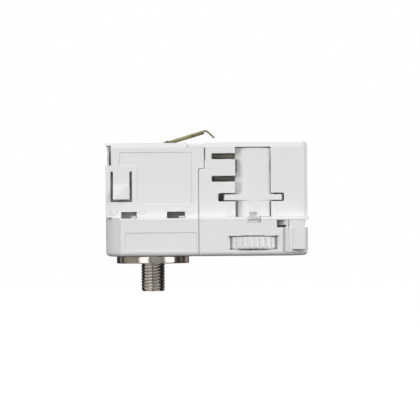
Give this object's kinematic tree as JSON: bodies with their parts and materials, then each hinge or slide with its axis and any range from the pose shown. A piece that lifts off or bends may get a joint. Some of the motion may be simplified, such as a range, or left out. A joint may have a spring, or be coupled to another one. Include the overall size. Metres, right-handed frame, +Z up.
{
  "type": "track light adapter",
  "caption": "Moulded adapter for a three-circuit lighting track, with a turning contact drum and locking lever, a ribbed circuit wheel, a folded earth spring and a threaded nipple below.",
  "frame": {"origin": "on the nipple's axis, at the underside of its flange", "axes": "+X along the body to the lever end, -Y is the front with the neutral contact, +Z up into the track"},
  "size_m": [0.085, 0.0356, 0.0677],
  "materials": {
    "housing_plastic": "fine moulded white",
    "base_plastic": "fine moulded white",
    "drum_plastic": "smooth moulded white",
    "lever_plastic": "smooth moulded white",
    "block_plastic": "natural moulded white",
    "contact_brass": "rolled brass",
    "earth_bronze": "rolled bronze strip, dull",
    "nickel_plate": "bright nickel plate",
    "zinc_plate": "zinc plated steel",
    "spring_steel": "rolled spring steel",
    "lead_brown": "smooth insulation",
    "lead_blue": "smooth insulation",
    "lead_green": "green and yellow insulation"
  },
  "bodies": {
    "housing": {"wiring_housing": "housing_plastic", "contact_housing": "housing_plastic", "joining_clip": "housing_plastic", "left_base": "base_plastic", "right_base": "base_plastic", "bearing_plate": "base_plastic", "detent_spring": "spring_steel", "line_brush": "contact_brass", "neutral_spring": "contact_brass", "nipple": "nickel_plate", "nipple_nut": "zinc_plate", "earth_tag": "contact_brass", "terminal_block": "block_plastic", "terminal_sleeves": "contact_brass", "terminal_screws": "zinc_plate", "line_lead": "lead_brown", "neutral_lead": "lead_blue", "earth_lead": "lead_green", "bond_lead": "lead_green"},
    "drum": {"contact_drum": "drum_plastic", "neutral_blade": "contact_brass", "phase_blade_1": "contact_brass", "phase_blade_2": "contact_brass", "phase_blade_3": "contact_brass", "lock_lever": "lever_plastic"},
    "selector": {"selector_wheel": "lever_plastic", "selector_shaft": "lever_plastic", "selector_contact": "contact_brass"},
    "earth_contact": {"earth_spring": "earth_bronze"}
  },
  "joints": [
    {"name": "lock_turn", "type": "hinge", "parent": "housing", "child": "drum", "pos_m": [0.0423, 0, 0], "axis": [0, 0, 1], "range_deg": [0, 50]},
    {"name": "selector_turn", "type": "hinge", "parent": "housing", "child": "selector", "pos_m": [0.0423, 0, 0], "axis": [0, 0, 1], "range_deg": [0, 240]},
    {"name": "earth_flex", "type": "hinge", "parent": "housing", "child": "earth_contact", "pos_m": [0.0036, 0, 0.0503], "axis": [0, 1, 0], "range_deg": [0, 12], "stiffness_Nm_per_rad": 0.2, "springref_deg": -1.72}
  ]
}
